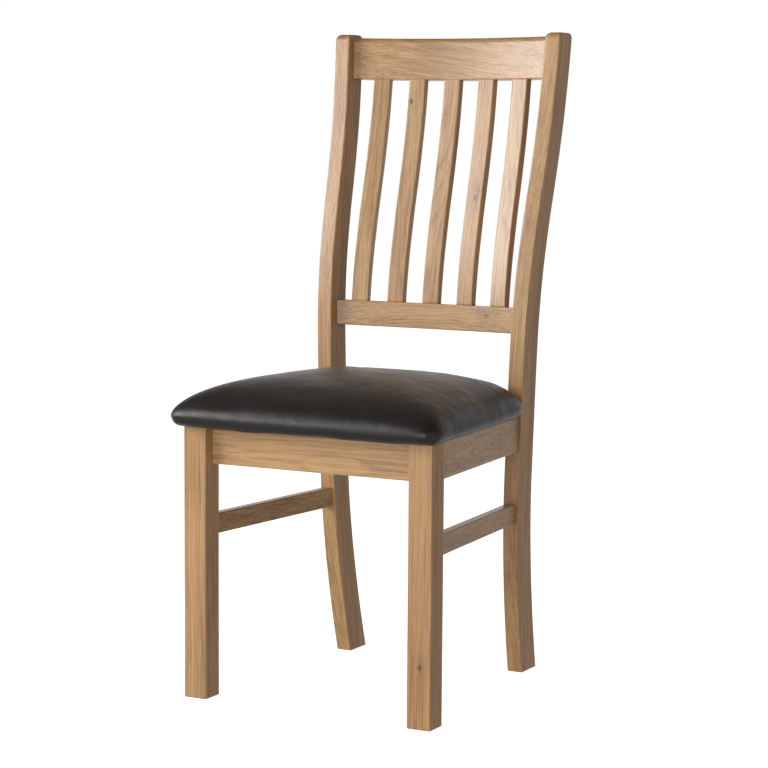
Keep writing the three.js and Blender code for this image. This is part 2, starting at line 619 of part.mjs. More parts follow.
for (const [name, , { solid, screws }] of blocks) {
  addPiece(frame, name, geometryOf(solid), OAK);
  screws.forEach(([length, place], index) => {
    const isSeatScrew = index === screws.length - 1;
    const title = name.replace('corner_block', isSeatScrew ? 'seat_screw' : 'block_screw');
    const label = isSeatScrew ? title : `${title}_${index + 1}`;
    const screw = addPiece(frame, label, screwGeometry(length), ZINC);
    screw.applyMatrix4(place);
  });
}

addPiece(seat, 'seat_board', geometryOf(seatBoard), PLYWOOD);
addPiece(seat, 'seat_foam', geometryOf(seatFoam), FOAM_FINISH);
addPiece(seat, 'seat_cover', geometryOf(seatCover), LEATHER_FINISH);
addPiece(seat, 'dust_cover', geometryOf(dustCover), BLACK_CLOTH);

// The origin goes to the middle of the footprint, on the floor.
chair.updateMatrixWorld(true);
const bounds = new THREE.Box3().setFromObject(chair);
chair.position.y = -(bounds.min.y + bounds.max.y) / 2;

export default chair;
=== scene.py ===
"""Looks for the oak dining chair: eased and grained oak, a padded leather seat, and the
staples, screws and dust cover under it."""
import math

import bpy
import numpy as np
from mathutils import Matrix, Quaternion, Vector


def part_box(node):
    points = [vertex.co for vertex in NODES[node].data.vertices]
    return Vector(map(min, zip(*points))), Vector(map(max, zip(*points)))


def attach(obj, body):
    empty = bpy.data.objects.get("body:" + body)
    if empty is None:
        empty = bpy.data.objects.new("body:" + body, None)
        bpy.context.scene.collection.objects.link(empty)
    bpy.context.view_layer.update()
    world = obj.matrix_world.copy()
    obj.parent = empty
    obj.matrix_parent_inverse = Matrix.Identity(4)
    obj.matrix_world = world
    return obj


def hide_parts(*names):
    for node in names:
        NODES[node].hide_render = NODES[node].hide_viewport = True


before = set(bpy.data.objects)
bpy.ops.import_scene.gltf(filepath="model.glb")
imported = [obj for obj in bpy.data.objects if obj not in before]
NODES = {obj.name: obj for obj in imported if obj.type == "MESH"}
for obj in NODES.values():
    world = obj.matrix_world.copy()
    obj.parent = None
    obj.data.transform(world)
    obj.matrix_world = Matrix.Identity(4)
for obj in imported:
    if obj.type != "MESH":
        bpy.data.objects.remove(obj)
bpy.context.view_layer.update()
MM = 0.001

# ---- Sizes of the chair, in millimetres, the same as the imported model's -------------------

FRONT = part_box("front_leg_left")[0].y / MM     # the front legs' front face
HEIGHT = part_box("back_post_left")[1].z / MM
WIDTH = 436.0
LEG = 40.0
SEAT_DEPTH = 370.0
SEAT_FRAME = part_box("front_leg_left")[1].z / MM
BACK_FLOOR, BACK_TOP, POST = 351.0, 417.0, 27.0
FOOT_DEPTH, SEAT_POST_DEPTH, TOP_DEPTH = 55.0, 51.5, 48.0
FOOT_SWEEP, FOOT_BEND, FOOT_POWER = 44.5, 330.0, 1.85
BACK_SWEEP, BACK_BEND = 87.5, 500.0
RAIL, RAIL_HEIGHT, SIDE_RAIL_HEIGHT, RAIL_INSET = 20.0, 60.0, 57.5, 4.5
REAR_RAIL_FACE = SEAT_DEPTH + 1.0
REAR_RAIL = 27.5           # its thickness: it reaches forward to the pad
STRETCHER, STRETCHER_HEIGHT, STRETCHER_LOW = 16.0, 32.6, 255.8
BOW, BOW_SETBACK = 950.0, 17.0
CREST, CREST_HEIGHT, CREST_DROP, CREST_ROUND = 22.0, 70.0, 4.0, 9.0
LOWER, LOWER_HEIGHT, LOWER_TOP = 20.0, 42.3, 606.3
SLAT_WIDTH, SLAT, SLAT_PITCH, SLAT_BEHIND = 29.8, 14.5, 64.5, 0.8
TOP_FRONT_ROUND, TOP_BACK_ROUND = 10.5, 6.5
PAD_FRONT, PAD_BACK = -30.0, 368.5
PAD_LOW = SEAT_FRAME + 0.3
SIDES = (("left", -1.0), ("right", 1.0))


# ---- Curves of the back -------------------------------------------------------------------

def spline(points, count=71):
    """Uniform Catmull-Rom curve through the points, as x and y arrays: on each stretch the
    two middle points are joined by a cubic whose slopes are half the outer points' chords."""
    p = np.array([points[0], *points, points[-1]], float)
    t = np.linspace(0, len(points) - 1, count)
    i = np.minimum(t.astype(int), len(points) - 2)
    w = (t - i)[:, None]
    a, b, c, d = p[i], p[i + 1], p[i + 2], p[i + 3]
    v0, v1 = (c - a) / 2, (d - b) / 2
    curve = (2 * b - 2 * c + v0 + v1) * w ** 3 + (3 * c - 3 * b - 2 * v0 - v1) * w ** 2 + v0 * w + b
    return curve[:, 0], curve[:, 1]


SWEEP_AT, SWEEP = spline([(0, 0), (0.15, 0.033), (0.3, 0.149), (0.45, 0.353),
                          (0.6, 0.596), (0.75, 0.8), (0.9, 0.937), (1, 1)])


def smooth(x, low, high):
    """Smooth step from 0 at low to 1 at high: 3t squared less 2t cubed."""
    t = np.clip((x - low) / (high - low), 0, 1)
    return t * t * (3 - 2 * t)


def post_front(z):
    """Front face of a back post at height z: straight at the seat, a power curve down to the
    foot and a spline up to the top."""
    z = np.asarray(z, float)
    foot = FOOT_SWEEP * np.clip((FOOT_BEND - z) / FOOT_BEND, 0, 1) ** FOOT_POWER
    back = BACK_SWEEP * np.interp((z - BACK_BEND) / (HEIGHT - BACK_BEND), SWEEP_AT, SWEEP)
    return SEAT_DEPTH + foot + back


def post_depth(z):
    """Front to back size of a post at height z, easing between foot, seat and top."""
    z = np.asarray(z, float)
    toe = 1 - smooth(z, 0, FOOT_BEND)
    top = smooth(z, BACK_BEND, BACK_BEND + (HEIGHT - BACK_BEND) / 2)
    return (SEAT_POST_DEPTH + (FOOT_DEPTH - SEAT_POST_DEPTH) * toe
            + (TOP_DEPTH - SEAT_POST_DEPTH) * top)


SPLAY = (BACK_TOP - BACK_FLOOR) / 2 / HEIGHT


def post_outer(z):
    """Outer face of a post at height z: a straight line, splayed outwards."""
    return BACK_FLOOR / 2 + SPLAY * np.asarray(z, float)


def post_inner(z):
    return post_outer(z) - POST


def bow(x, end):
    """How far the circular bow stands behind its ends, at x from the middle."""
    return np.sqrt(BOW ** 2 - np.asarray(x, float) ** 2) - math.sqrt(BOW ** 2 - end ** 2)


CREST_LOW = HEIGHT - CREST_DROP - CREST_HEIGHT
LOWER_LOW = LOWER_TOP - LOWER_HEIGHT
CREST_END, LOWER_END = float(post_inner(CREST_LOW)), float(post_inner(LOWER_LOW))


def slat_front(z):
    """Front face of the middle slat at height z, parallel to the posts."""
    return post_front(z) + BOW_SETBACK + bow(0, CREST_END) + SLAT_BEHIND


# ---- Making meshes ------------------------------------------------------------------------

def make_mesh(name, points, faces, material, smoothed=True, **attributes):
    """An object from points in millimetres measured from the legs' front face, with one
    vector for each point in each named attribute."""
    mesh = bpy.data.meshes.new(name)
    placed = (np.asarray(points, float) + (0, FRONT, 0)) * MM
    mesh.from_pydata(placed, [], faces)
    for title, values in attributes.items():
        layer = mesh.attributes.new(title, "FLOAT_VECTOR", "POINT")
        layer.data.foreach_set("vector", np.asarray(values, np.float32).ravel())
    mesh.polygons.foreach_set("use_smooth", np.full(len(mesh.polygons), smoothed))
    mesh.validate()
    mesh.update()
    piece = bpy.data.objects.new(name, mesh)
    bpy.context.scene.collection.objects.link(piece)
    mesh.materials.append(material)
    return piece


def ring_faces(rings, round_count, capped=True):
    """Quads between rings of points, and a fan at each end to the two points after them."""
    i, j = np.meshgrid(np.arange(rings - 1), np.arange(round_count), indexing="ij")
    k = (j + 1) % round_count
    quads = np.stack([i * round_count + j, i * round_count + k,
                      (i + 1) * round_count + k, (i + 1) * round_count + j], -1)
    faces = quads.reshape(-1, 4).tolist()
    if capped:
        j = np.arange(round_count)
        k, last = (j + 1) % round_count, (rings - 1) * round_count
        start = rings * round_count
        faces += np.stack([np.full(round_count, start), k, j], -1).tolist()
        faces += np.stack([np.full(round_count, start + 1), last + j, last + k], -1).tolist()
    return faces


def eased_section(radii, steps=3, ease=0.5):
    """A rectangle with its four corners rounded by quarter circles, as signs that multiply
    the half sizes, and offsets that are added. A support point stands each side of an arc."""
    signs, offsets = [], []
    for quarter, radius in enumerate(radii):
        turn = np.radians(90.0 * quarter + np.linspace(0, 90, steps + 1))
        corner = np.sign([math.cos(turn[0] + 0.7), math.sin(turn[0] + 0.7)])
        arc = radius * np.stack([np.cos(turn), np.sin(turn)], 1) - radius * corner
        before = arc[0] - ease * np.array([-math.sin(turn[0]), math.cos(turn[0])])
        after = arc[-1] + ease * np.array([-math.sin(turn[-1]), math.cos(turn[-1])])
        offsets += [before, *arc, after]
        signs += [corner] * (steps + 3)
    return np.array(signs), np.array(offsets)


def stations(low, high, count, ends, steps=4):
    """Places along a piece from low to high, and how much its section is drawn in there: a
    quarter circle of each end's own radius, and nothing between."""
    turn = np.linspace(0, math.pi / 2, steps + 1)
    first, last = ends
    middle = np.linspace(low + first + 0.5, high - last - 0.5, count)
    places = [low + first * (1 - np.sin(turn[::-1])), middle, high - last * (1 - np.sin(turn))]
    drawn = [first * (1 - np.cos(turn[::-1])), np.zeros(count), last * (1 - np.cos(turn))]
    return np.concatenate(places), np.concatenate(drawn)


NO_KNOT = (0.0, 0.0, -900.0)


def bar(name, material, centre, across, through, half, radii, grain, drawn=0.0, bend=None,
        knot=NO_KNOT):
    """A solid bar: at each station a rounded rectangle stands at the centre, with its half
    sizes along two unit vectors. `grain` turns points into the board's own x, y and z, the
    last along the tree's grain. `bend` moves the finished points, and `knot` is a point on
    the face of the piece."""
    signs, offsets = eased_section(radii)
    n, m = len(centre), len(signs)
    half = np.broadcast_to(np.asarray(half, float), (n, 2)) - np.reshape(drawn, (-1, 1))
    a = signs[:, 0] * half[:, :1] + offsets[:, 0]
    b = signs[:, 1] * half[:, 1:] + offsets[:, 1]
    across, through = (np.broadcast_to(v, (n, 3))[:, None, :] for v in (across, through))
    rings = centre[:, None, :] + across * a[..., None] + through * b[..., None]
    points = np.concatenate([rings.reshape(-1, 3), centre[[0, -1]]])
    if bend is not None:
        points = bend(points)
    board = grain(points)
    return make_mesh(name, points, ring_faces(n, m), material, grain=board * MM,
                     knot=(board - grain(np.array([knot]))) * MM)


def carry(piece, *nodes, slot="oak"):
    """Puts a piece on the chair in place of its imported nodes."""
    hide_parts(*nodes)
    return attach(piece, "root")


# ---- Shader maths -------------------------------------------------------------------------

class Socket:
    """A shader value that can be written in sums: each operator adds its Math node."""

    def __init__(self, paint, link):
        self.paint, self.link = paint, link

    def maths(self, operation, *values, clamp=False):
        node = self.paint.add("ShaderNodeMath", operation=operation, use_clamp=clamp,
                              inputs=dict(enumerate(values)))
        return Socket(self.paint, node.outputs[0])

    def __add__(self, other): return self.maths("ADD", self, other)
    def __radd__(self, other): return self.maths("ADD", other, self)
    def __sub__(self, other): return self.maths("SUBTRACT", self, other)
    def __rsub__(self, other): return self.maths("SUBTRACT", other, self)
    def __mul__(self, other): return self.maths("MULTIPLY", self, other)
    def __rmul__(self, other): return self.maths("MULTIPLY", other, self)
    def __truediv__(self, other): return self.maths("DIVIDE", self, other)
    def __pow__(self, other): return self.maths("POWER", self, other)
    def __neg__(self): return self.maths("MULTIPLY", self, -1.0)

    def clamp(self): return self.maths("ADD", self, 0.0, clamp=True)
    def fraction(self): return self.maths("FRACT", self)
    def root(self): return self.maths("SQRT", self)
    def absolute(self): return self.maths("ABSOLUTE", self)

    def between(self, low, high):
        """0 at low, 1 at high, a smooth step between them."""
        node = self.paint.add("ShaderNodeMapRange", interpolation_type="SMOOTHSTEP",
                              inputs={"Value": self, "From Min": low, "From Max": high})
        return Socket(self.paint, node.outputs["Result"])


class Paint:
    """A material being mixed, or the room's light where its tree is given: adds nodes."""

    def __init__(self, name, tree=None):
        self.tree = tree
        if tree is not None:
            return
        self.material = bpy.data.materials.new(name)
        self.material.use_nodes = True
        self.tree = self.material.node_tree
        self.surface = self.tree.nodes["Principled BSDF"]

    def add(self, kind, inputs=None, **settings):
        node = self.tree.nodes.new(kind)
        for key, value in settings.items():
            setattr(node, key, value)
        for key, value in (inputs or {}).items():
            self.feed(node.inputs[key], value)
        return node

    def feed(self, socket, value):
        if isinstance(value, Socket):
            self.tree.links.new(value.link, socket)
        elif value is not None:
            socket.default_value = value

    def out(self, node, name=0):
        return Socket(self, node.outputs[name])

    def object_place(self):
        return self.out(self.add("ShaderNodeTexCoord"), "Object")

    def attribute(self, name):
        return self.out(self.add("ShaderNodeAttribute", attribute_name=name), "Vector")

    def split(self, vector):
        node = self.add("ShaderNodeSeparateXYZ", {"Vector": vector})
        return tuple(self.out(node, axis) for axis in "XYZ")

    def scaled(self, vector, scale, move=(0, 0, 0)):
        return self.out(self.add("ShaderNodeMapping", {
            "Vector": vector, "Scale": scale, "Location": move}))

    def noise(self, vector, scale, detail=2.0, rough=0.5, output="Fac", move=(0, 0, 0)):
        """Noise whose size differs by axis: scale is cells per metre along x, y and z."""
        node = self.add("ShaderNodeTexNoise", {
            "Vector": self.scaled(vector, scale, move), "Scale": 1.0, "Detail": detail,
            "Roughness": rough})
        return self.out(node, output)

    def vector(self, operation, *values, output=0):
        node = self.add("ShaderNodeVectorMath", operation=operation, inputs=dict(enumerate(values)))
        return self.out(node, output)

    def mix(self, share, one, two, blend="MIX"):
        node = self.add("ShaderNodeMix", data_type="RGBA", blend_type=blend,
                        inputs={0: share, 6: one, 7: two})
        return self.out(node, 2)

    def bump(self, height, strength, distance, under=None):
        node = self.add("ShaderNodeBump", {"Height": height, "Strength": strength,
                                           "Distance": distance, "Normal": under})
        return self.out(node)

    def finish(self, **sockets):
        for name, value in sockets.items():
            self.feed(self.surface.inputs[name.replace("_", " ")], value)
        return self.material


def rgb(red, green, blue):
    """A display colour from 0 to 255 as linear light."""
    return tuple(((c / 255 + 0.055) / 1.055) ** 2.4 if c > 10 else c / 255 / 12.92
                 for c in (red, green, blue)) + (1.0,)


# ---- Finishes -----------------------------------------------------------------------------

def oak_finish(name, from_board=True, light=(186, 146, 96), dark=(116, 78, 42)):
    """Lacquered oak. Growth rings are shells round a pith beside the board, bent by slow
    noise; pores are short dark strokes along the grain, crowded at each ring's start; rays
    are small pale flecks; a knot bends the rings round itself and is dark in its middle."""
    paint = Paint(name)
    place = paint.attribute("grain") if from_board else paint.object_place()
    slow = paint.noise(place, (14, 14, 2.2), 2.0, output="Color")
    bent = paint.vector("ADD", place, paint.vector(
        "MULTIPLY", paint.vector("SUBTRACT", slow, (0.5, 0.5, 0.5)), (0.026, 0.026, 0.0)))
    x, y, _ = paint.split(bent)
    reach = (x * x + y * y).root()
    pull = core = 0.0
    if from_board:
        away = paint.vector("LENGTH", paint.vector(
            "MULTIPLY", paint.attribute("knot"), (1.0, 0.5, 0.5)), output="Value")
        pull = 1 - away.between(0.0, 0.020)
        core = 1 - away.between(0.0008, 0.0036)
        reach = reach + pull * pull * 0.010
    wander = paint.noise(place, (60, 60, 5), 1.0)
    rings = (reach * 290.0 + wander * 1.5).fraction()
    early = (1 - rings.between(0.0, 0.45) + rings.between(0.92, 1.0)).clamp()
    bands = paint.noise(place, (130, 130, 3.0), 2.0, 0.5, move=(6, 2, 3))
    streaks = paint.noise(place, (460, 460, 8), 3.0, 0.65)
    fibres = paint.noise(place, (1500, 1500, 32), 2.0, 0.6)
    pores = paint.noise(place, (1500, 1500, 110), 1.0, 0.4, move=(3, 5, 1))
    broad = paint.noise(place, (20, 20, 4.0), 3.0, 0.6, move=(7, 1, 4))
    rays = paint.noise(place, (260, 800, 110), 1.0, move=(2, 9, 5)).between(0.64, 0.76)
    pore = pores.between(0.58, 0.70) * (0.30 + 0.70 * early)
    depth = (early * 0.20 + (bands - 0.5) * 0.85 + streaks.between(0.34, 0.70) * 0.46
             + fibres.between(0.3, 0.7) * 0.18 + (broad - 0.5) * 0.95 + pore * 0.34
             - rays * 0.16 - 0.06 + pull * 0.22)
    colour = paint.mix(depth.clamp(), rgb(*light), rgb(*dark))
    warm = paint.noise(place, (9, 9, 1.6), 1.0, move=(1, 2, 8))
    colour = paint.mix(warm.between(0.35, 0.7) * 0.25, colour, rgb(214, 168, 112), "MULTIPLY")
    if from_board:
        colour = paint.mix((core * 0.9).clamp(), colour, rgb(62, 40, 26))
    rough = 0.38 + streaks * 0.10 + pore * 0.16
    grooves = paint.bump((1 - pore) * 0.7 + (1 - fibres) * 0.3, 0.35, 0.0003)
    paint.surface.inputs["Coat Roughness"].default_value = 0.27
    return paint.finish(Base_Color=colour, Roughness=rough, Normal=grooves, Coat_Weight=0.55)


def leather_finish():
    """Smooth brown-black seat leather: fine pebbles from cell edges, a slower wrinkling that
    breaks up the shine, and an uneven gloss."""
    paint = Paint("seat leather")
    place = paint.object_place()
    cells = paint.out(paint.add("ShaderNodeTexVoronoi", feature="DISTANCE_TO_EDGE", inputs={
        "Vector": place, "Scale": 700.0}), "Distance")
    pebble = cells.between(0.02, 0.25)
    creases = paint.noise(place, (160, 160, 90), 4.0, 0.62)
    slow = paint.noise(place, (34, 34, 26), 2.0, 0.5)
    rubbed = paint.noise(place, (12, 16, 20), 3.0, 0.6, move=(4, 2, 7))
    tone = ((1 - pebble) * 0.3 + (rubbed - 0.5) * 0.9 + 0.4).clamp()
    colour = paint.mix(tone, rgb(30, 24, 21), rgb(16, 13, 12))
    rough = 0.33 + (rubbed - 0.5) * 0.26 + (1 - pebble) * 0.08
    relief = paint.bump(pebble * 0.35 + creases * 0.9, 0.16, 0.0006)
    relief = paint.bump(slow, 0.22, 0.006, relief)
    paint.surface.inputs["Specular IOR Level"].default_value = 0.42
    paint.surface.inputs["Sheen Weight"].default_value = 0.10
    paint.surface.inputs["Sheen Roughness"].default_value = 0.45
    paint.surface.inputs["Sheen Tint"].default_value = (0.80, 0.70, 0.60, 1.0)
    return paint.finish(Base_Color=colour, Roughness=rough, Normal=relief)


def cloth_finish():
    """Black non-woven dust cloth: pressed fibres and a lattice of small spot welds."""
    paint = Paint("dust cloth")
    place = paint.object_place()
    fibres = paint.noise(place, (900, 900, 900), 4.0, 0.7)
    x, y, _ = paint.split(paint.vector("MULTIPLY", place, (400.0, 400.0, 400.0)))
    weld = ((x.fraction() - 0.5).absolute() + (y.fraction() - 0.5).absolute()).between(0.15, 0.3)
    colour = paint.mix(fibres, rgb(24, 24, 26), rgb(44, 44, 47))
    return paint.finish(Base_Color=colour, Roughness=0.82 + fibres * 0.12,
                        Normal=paint.bump(fibres * 0.5 + weld * 0.6, 0.4, 0.0004))


def plywood_finish():
    """Plywood: wood figure on the faces, and alternating pale and dark plies on the edge."""
    paint = Paint("seat plywood")
    place = paint.object_place()
    figure = paint.noise(place, (70, 9, 900), 3.0, 0.6)
    _, _, z = paint.split(place)
    ply = (z * 417.0).fraction().between(0.40, 0.60)
    colour = paint.mix((figure * 0.6 + ply * 0.4).clamp(), rgb(205, 172, 128), rgb(150, 112, 74))
    return paint.finish(Base_Color=colour, Roughness=0.78 + figure * 0.12,
                        Normal=paint.bump(figure, 0.3, 0.0003))


def metal_finish(name, light, dark, rough, metallic=1.0):
    """Plated steel wire and screws: brushed, with slow cloudy stains."""
    paint = Paint(name)
    place = paint.object_place()
    brushed = paint.noise(place, (2600, 2600, 700), 3.0, 0.6)
    stains = paint.noise(place, (340, 340, 340), 3.0)
    colour = paint.mix((brushed * 0.5 + stains * 0.5).clamp(), rgb(*light), rgb(*dark))
    return paint.finish(Base_Color=colour, Roughness=rough + stains * 0.2, Metallic=metallic,
                        Normal=paint.bump(brushed, 0.2, 0.0002))


OAK = oak_finish("oak")
OAK_HIDDEN = oak_finish("oak inside", from_board=False)
LEATHER = leather_finish()
DUST_CLOTH = cloth_finish()
PLYWOOD = plywood_finish()
ZINC = metal_finish("zinc plate", (214, 205, 170), (160, 150, 118), 0.30)
STAPLE_WIRE = metal_finish("staple wire", (205, 207, 210), (140, 142, 146), 0.28)


# ---- Oak frame ----------------------------------------------------------------------------

X, Y, Z = np.eye(3)


def board(pith, turn=0.0, order=(0, 1, 2), start=(0.0, 0.0, 0.0)):
    """How a piece lies in its tree: its axes in grain order, measured from start, turned a
    little about its second axis, and moved off by the pith's place."""
    c, s = math.cos(turn), math.sin(turn)

    def place(points):
        p = (points - np.array(start))[:, list(order)]
        return np.stack([c * p[:, 0] - s * p[:, 2], p[:, 1], s * p[:, 0] + c * p[:, 2]], 1) + pith
    return place


def front_leg(name, side, pith, knot):
    """Square leg: a rounded square carried straight up, with eased ends."""
    z, drawn = stations(0, SEAT_FRAME, 8, (1.6, 1.6))
    x = side * (WIDTH - LEG) / 2
    centre = np.stack([np.full_like(z, x), np.full_like(z, LEG / 2), z], 1)
    return bar(name, OAK, centre, X, Y, (LEG / 2, LEG / 2), (1.7,) * 4,
               board(pith, 0.012 * side, start=(x, 0, 0)), drawn, knot=knot)


def back_post(name, side, pith, knot):
    """Back post: level rounded rectangles between the curved front and back faces, sliding
    outwards with height. At the top its faces turn over in quarter circles: a large one in
    front, a smaller one behind, and small ones at the sides."""
    z, drawn = stations(0, HEIGHT, 110, (1.6, TOP_FRONT_ROUND), 8)
    x = side * (post_outer(z) - POST / 2)
    up = np.clip(z - (HEIGHT - TOP_FRONT_ROUND), 0, None) / TOP_FRONT_ROUND
    over = 1 - np.sqrt(1 - np.clip(up, 0, 1) ** 2)
    back_over = TOP_BACK_ROUND * (1 - np.sqrt(1 - np.clip(up, 0, 1) ** 4))
    toe = np.where(z < 3, drawn, 0)
    front = post_front(z) + over * TOP_FRONT_ROUND + toe
    back = post_front(z) + post_depth(z) - back_over - toe
    centre = np.stack([x, (front + back) / 2, z], 1)
    half = np.stack([POST / 2 - toe - 5.5 * over, (back - front) / 2], 1)
    straight = board(pith, start=(0, SEAT_DEPTH, 0))

    def sawn(points):
        flat = points.copy()
        flat[:, 0] -= side * (post_outer(points[:, 2]) - POST / 2)
        flat[:, 1] -= 0.6 * (post_front(points[:, 2]) - SEAT_DEPTH)
        return straight(flat)
    return bar(name, OAK, centre, X, Y, half, (2.2,) * 4, sawn, knot=knot)


def side_bar(name, side, low, high, thickness, inset_front, inset_back, pith, radius=1.5):
    """Rail or stretcher from a front leg to a back post: an upright rounded rectangle carried
    along the straight line between them."""
    middle = (low + high) / 2
    start = np.array([WIDTH / 2 - inset_front, LEG])
    end = np.array([float(post_outer(middle)) - inset_back, float(post_front(middle))])
    slope = (end[0] - start[0]) / (end[1] - start[1])
    y = np.concatenate([[LEG + 0.05, LEG + 0.5], np.linspace(LEG + 6, end[1] - 6, 12),
                        [end[1] - 0.5, end[1] + 0.6]])
    x = start[0] + slope * (y - LEG) - thickness / 2 * math.hypot(1, slope)
    centre = np.stack([side * x, y, np.full_like(y, middle)], 1)
    along = np.array([side * slope, 1.0, 0.0]) / math.hypot(1, slope)
    across = np.cross(Z, along)
    return bar(name, OAK, centre, across, Z, (thickness / 2, (high - low) / 2), (radius,) * 4,
               board(pith, 0.01, (2, 0, 1), start=(side * start[0], LEG, low)))


def cross_bar(name, face, thickness, reach_low, reach_high, pith, radius=1.5):
    """Front or rear rail: a rounded rectangle carried straight across, its ends following
    the splay of what it meets."""
    low = SEAT_FRAME - RAIL_HEIGHT
    x = np.concatenate([[-1.0, -0.996], np.linspace(-0.96, 0.96, 12), [0.996, 1.0]]) * reach_low
    middle = face + thickness / 2
    centre = np.stack([x, np.full_like(x, middle), np.full_like(x, low + RAIL_HEIGHT / 2)], 1)

    def splayed(points):
        share = (points[:, 2] - low) / RAIL_HEIGHT
        points[:, 0] *= 1 + share * (reach_high / reach_low - 1)
        return points
    return bar(name, OAK, centre, Y, Z, (thickness / 2, RAIL_HEIGHT / 2), (radius,) * 4,
               board(pith, 0.008, (2, 1, 0), start=(0, face, low)), bend=splayed)


def bowed_bar(name, low, height, thickness, face, end, radii, pith, turn, knot):
    """Back rail: a rounded rectangle carried along a circular bow, then leant back with the
    posts about its lower front edge, its ends following the posts' splay."""
    lean = math.atan2(float(post_front(low + height) - post_front(low)), height)
    x = np.concatenate([[-1.0, -0.997], np.linspace(-0.97, 0.97, 48), [0.997, 1.0]]) * (end - 0.05)
    tangent = np.stack([np.sqrt(BOW ** 2 - x ** 2), -x, np.zeros_like(x)], 1) / BOW
    back = np.cross(Z, tangent)
    line = np.stack([x, bow(x, end), np.zeros_like(x)], 1)
    centre = line + back * thickness / 2 + Z * height / 2
    # A ring at an end stands square to the chair and not to the bow, where it meets its post.
    back[[0, -1]] = Y
    centre[[0, -1]] = line[[0, -1]] + Y * thickness / 2 + Z * height / 2
    c, s = math.cos(lean), math.sin(lean)

    def leant(points):
        y, z = points[:, 1].copy(), points[:, 2].copy()
        points[:, 1] = face + c * y + s * z
        points[:, 2] = low - s * y + c * z
        points[:, 0] *= 1 + SPLAY * (points[:, 2] - low) / end
        return points
    return bar(name, OAK, centre, back, Z, (thickness / 2, height / 2), radii,
               board(pith, turn, (2, 1, 0), start=(0, face, low)), bend=leant, knot=knot)


def slat(name, place, pith, knot):
    """Slat: level rounded rectangles following the posts' curve, turned to face the middle
    of the bow, its ends just inside both back rails."""
    x = (place - 2) * SLAT_PITCH
    turn = -math.asin(x / BOW)
    z = np.linspace(LOWER_TOP - 4, CREST_LOW + 3, 64)
    slope = (post_front(z + 1) - post_front(z - 1)) / 2
    c, s = math.cos(turn), math.sin(turn)
    across, through = np.array([c, s, 0.0]), np.array([-s, c, 0.0])
    y = slat_front(z) + bow(x, 0) + SLAT / 2
    centre = np.stack([np.full_like(z, x), y, z], 1)
    half = np.stack([np.full_like(z, SLAT_WIDTH / 2), SLAT / 2 * np.hypot(1, slope)], 1)
    straight = board(pith, 0.006 * (place - 2), start=(x, SEAT_DEPTH, 0))

    def bent(points):
        flat = points.copy()
        flat[:, 1] -= 0.8 * (slat_front(points[:, 2]) - SEAT_DEPTH)
        return straight(flat)
    return bar(name, OAK, centre, across, through, half, (2.0,) * 4, bent, knot=knot)


for title, side in SIDES:
    leg_pith = (46.0, 30.0, 100.0) if side < 0 else (-58.0, 46.0, 700.0)
    leg_knot = NO_KNOT if side < 0 else (200.0, 0.0, 96.0)
    carry(front_leg(f"oak_front_leg_{title}", side, leg_pith, leg_knot), f"front_leg_{title}")
    post_pith = (24.0, -62.0, 1500.0) if side < 0 else (-40.0, 48.0, 2900.0)
    carry(back_post(f"oak_back_post_{title}", side, post_pith, NO_KNOT), f"back_post_{title}")
    rail_pith = (-30.0, 34.0, 4200.0) if side < 0 else (-26.0, 40.0, 5100.0)
    carry(side_bar(f"oak_side_rail_{title}", side, SEAT_FRAME - SIDE_RAIL_HEIGHT, SEAT_FRAME, RAIL,
                   RAIL_INSET, RAIL_INSET, rail_pith), f"side_rail_{title}")
    stretcher_pith = (25.0, 60.0, 6000.0) if side < 0 else (-48.0, 33.0, 6700.0)
    carry(side_bar(f"oak_side_stretcher_{title}", side, STRETCHER_LOW,
                   STRETCHER_LOW + STRETCHER_HEIGHT, STRETCHER, 12.0, 5.5, stretcher_pith),
          f"side_stretcher_{title}")

leg_inner = WIDTH / 2 - LEG
carry(cross_bar("oak_front_rail", LEG - RAIL, RAIL, leg_inner - 0.05, leg_inner - 0.05,
                (-20.0, -42.0, 7400.0)), "front_rail")
carry(cross_bar("oak_rear_rail", REAR_RAIL_FACE, REAR_RAIL,
                float(post_inner(SEAT_FRAME - RAIL_HEIGHT)) - 0.05,
                float(post_inner(SEAT_FRAME)) - 0.05, (-35.0, -50.0, 8300.0)), "rear_rail")
crest_face = float(post_front(CREST_LOW)) + BOW_SETBACK
lower_face = float(slat_front(LOWER_LOW)) - SLAT_BEHIND - float(bow(0, LOWER_END))
carry(bowed_bar("oak_crest_rail", CREST_LOW, CREST_HEIGHT, CREST, crest_face, CREST_END,
                (CREST_ROUND, CREST_ROUND, 1.6, 1.6), (30.0, -36.0, 9200.0), -0.15,
                (-158.0, crest_face + 3.0, 1012.0)), "crest_rail")
carry(bowed_bar("oak_lower_back_rail", LOWER_LOW, LOWER_HEIGHT, LOWER, lower_face, LOWER_END,
                (2.0, 2.0, 1.6, 1.6), (22.0, -48.0, 10100.0), 0.02,
                (108.0, lower_face + 8.0, 590.0)), "lower_back_rail")
for place in range(5):
    slat_pith = [(30.0, -80.0, 11000.0), (-26.0, -70.0, 12000.0), (14.0, -95.0, 13000.0),
                 (38.0, -74.0, 14000.0), (-20.0, -66.0, 15000.0)][place]
    slat_knot = (66.0, float(slat_front(780.0)) - 2.0, 780.0) if place == 3 else (
        (-72.0, float(slat_front(938.0)) - 2.0, 938.0) if place == 1 else NO_KNOT)
    carry(slat(f"oak_slat_{place + 1}", place, slat_pith, slat_knot), f"back_slat_{place + 1}")


# ---- Seat pad -----------------------------------------------------------------------------

